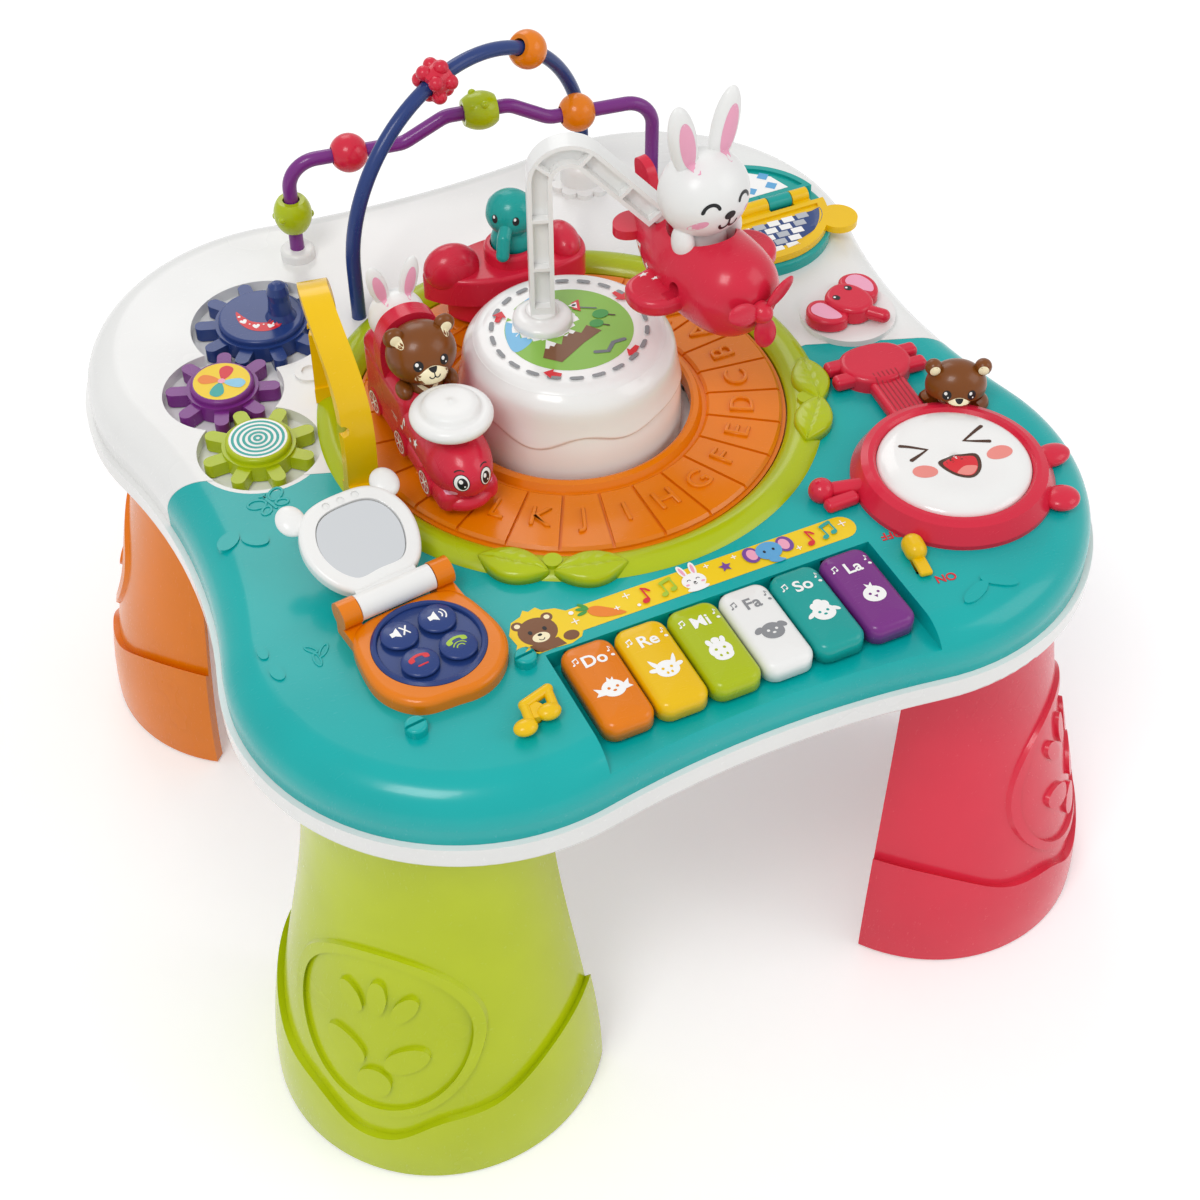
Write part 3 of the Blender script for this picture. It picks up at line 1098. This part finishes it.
# Repeated trims made by geometry nodes
def ring_row_tree():
    """Round-ended pads repeated evenly along an arc."""
    tree = bpy.data.node_groups.new("pads along an arc", "GeometryNodeTree")
    face = tree.interface
    face.new_socket("Geometry", in_out="INPUT", socket_type="NodeSocketGeometry")
    for label, kind, value in (("Count", "NodeSocketInt", 12), ("Radius", "NodeSocketFloat", 0.05),
                               ("Start", "NodeSocketFloat", 0.0), ("Sweep", "NodeSocketFloat", TAU),
                               ("Size", "NodeSocketVector", (0.002, 0.001, 0.001)), ("Rise", "NodeSocketFloat", 0.0)):
        item = face.new_socket(label, in_out="INPUT", socket_type=kind)
        item.default_value = value
    face.new_socket("Finish", in_out="INPUT", socket_type="NodeSocketMaterial")
    face.new_socket("Geometry", in_out="OUTPUT", socket_type="NodeSocketGeometry")
    new, link = tree.nodes.new, tree.links.new
    gin, gout = new("NodeGroupInput"), new("NodeGroupOutput")
    line = new("GeometryNodeMeshLine")
    link(gin.outputs["Count"], line.inputs["Count"])
    index = new("GeometryNodeInputIndex")
    share = sums(tree, "DIVIDE", index.outputs[0], gin.outputs["Count"])
    angle = sums(tree, "MULTIPLY_ADD", share, gin.outputs["Sweep"], gin.outputs["Start"])
    spot = new("ShaderNodeCombineXYZ")
    for function, socket in (("COSINE", "X"), ("SINE", "Y")):
        reach = sums(tree, "MULTIPLY", sums(tree, function, angle), gin.outputs["Radius"])
        link(reach, spot.inputs[socket])
    link(gin.outputs["Rise"], spot.inputs["Z"])
    place = new("GeometryNodeSetPosition")
    link(line.outputs["Mesh"], place.inputs["Geometry"])
    link(spot.outputs[0], place.inputs["Position"])
    pad = new("GeometryNodeMeshUVSphere")
    pad.inputs["Segments"].default_value = 12
    pad.inputs["Rings"].default_value = 8
    pad.inputs["Radius"].default_value = 1.0
    turn = new("ShaderNodeCombineXYZ")
    link(angle, turn.inputs["Z"])
    each = new("GeometryNodeInstanceOnPoints")
    link(place.outputs["Geometry"], each.inputs["Points"])
    link(pad.outputs["Mesh"], each.inputs["Instance"])
    link(turn.outputs[0], each.inputs["Rotation"])
    link(gin.outputs["Size"], each.inputs["Scale"])
    real = new("GeometryNodeRealizeInstances")
    link(each.outputs["Instances"], real.inputs["Geometry"])
    paint = new("GeometryNodeSetMaterial")
    link(real.outputs["Geometry"], paint.inputs["Geometry"])
    link(gin.outputs["Finish"], paint.inputs["Material"])
    shade = new("GeometryNodeSetShadeSmooth")
    link(paint.outputs["Geometry"], shade.inputs["Geometry"])
    link(shade.outputs["Geometry"], gout.inputs["Geometry"])
    return tree


ARC_PADS = ring_row_tree()


def arc_pads(name, body, place, finish, count, radius, size, start=0.0, sweep=360.0, rise=0.0):
    """A row of pads in millimetres of `place`, as one plain mesh on a body."""
    carrier = linked("carrier", bpy.data.meshes.new("carrier"))
    modifier = carrier.modifiers.new("row", "NODES")
    modifier.node_group = ARC_PADS
    values = {"Count": count, "Radius": radius * MM, "Start": math.radians(start), "Sweep": math.radians(sweep),
              "Size": [v * MM for v in size], "Rise": rise * MM, "Finish": finish}
    for item in ARC_PADS.interface.items_tree:
        if item.in_out == "INPUT" and item.name in values:
            modifier[item.identifier] = values[item.name]
    mesh = baked(carrier)
    mesh.transform(Matrix.Translation(place.translation * MM) @ place.to_3x3().to_4x4())
    mesh.name = name
    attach(linked(name, mesh), body)


arc_pads("speaker_slots", "table", moved(100, 60, 227.0), BLACK, 18, 17, (2.2, 1.1, 0.35))
arc_pads("speaker_slots_inner", "table", moved(100, 60, 227.0), BLACK, 10, 9, (2.2, 1.1, 0.35))


# Floor and light
def seen_ray(tree):
    """1 for rays of the camera, of gloss and through clear parts."""
    path = tree.nodes.new("ShaderNodeLightPath")
    first = sums(tree, "MAXIMUM", path.outputs["Is Camera Ray"], path.outputs["Is Glossy Ray"])
    return sums(tree, "MAXIMUM", first, path.outputs["Is Transmission Ray"])


def studio():
    pale = bpy.data.materials.new("pale floor")
    pale.use_nodes = True
    tree = pale.node_tree
    shader = tree.nodes["Principled BSDF"]
    shader.inputs["Base Color"].default_value = (0.92, 0.92, 0.92, 1)
    shader.inputs["Roughness"].default_value = 0.9
    shader.inputs["Specular IOR Level"].default_value = 0.1
    glow = tree.nodes.new("ShaderNodeEmission")
    glow.inputs["Color"].default_value = (1, 1, 1, 1)
    glow.inputs["Strength"].default_value = 0.22
    both = tree.nodes.new("ShaderNodeAddShader")
    pick = tree.nodes.new("ShaderNodeMixShader")
    out = tree.nodes["Material Output"]
    tree.links.new(shader.outputs[0], both.inputs[0])
    tree.links.new(glow.outputs[0], both.inputs[1])
    tree.links.new(seen_ray(tree), pick.inputs[0])
    tree.links.new(shader.outputs[0], pick.inputs[1])
    tree.links.new(both.outputs[0], pick.inputs[2])
    tree.links.new(pick.outputs[0], out.inputs["Surface"])
    bm = bmesh.new()
    bmesh.ops.create_grid(bm, x_segments=1, y_segments=1, size=12.0)
    mesh = bpy.data.meshes.new("floor")
    bm.to_mesh(mesh)
    bm.free()
    mesh.materials.append(pale)
    floor = linked("floor", mesh)
    floor.location.z = -0.0015
    world = bpy.data.worlds.new("studio")
    bpy.context.scene.world = world
    world.use_nodes = True
    tree = world.node_tree
    soft = tree.nodes["Background"]
    soft.inputs["Color"].default_value = (1, 1, 1, 1)
    soft.inputs["Strength"].default_value = 0.62
    seen = tree.nodes.new("ShaderNodeBackground")
    seen.inputs["Strength"].default_value = 1.0
    pick = tree.nodes.new("ShaderNodeMixShader")
    tree.links.new(seen_ray(tree), pick.inputs[0])
    tree.links.new(soft.outputs[0], pick.inputs[1])
    tree.links.new(seen.outputs[0], pick.inputs[2])
    tree.links.new(pick.outputs[0], tree.nodes["World Output"].inputs["Surface"])
    for label, place, size, power in (("key", (-1.2, -1.0, 2.4), 0.9, 22.0), ("fill", (1.8, -1.4, 1.6), 1.4, 10.0),
                                      ("rim", (0.3, 2.0, 1.8), 1.2, 9.0)):
        data = bpy.data.lights.new(label, "AREA")
        data.size = size
        data.energy = power
        lamp = bpy.data.objects.new(label, data)
        bpy.context.scene.collection.objects.link(lamp)
        lamp.location = place
        lamp.rotation_mode = "QUATERNION"
        lamp.rotation_quaternion = (Vector((0, 0, 0.25)) - Vector(place)).to_track_quat("-Z", "Y")


studio()
bpy.context.scene.view_settings.view_transform = "Standard"
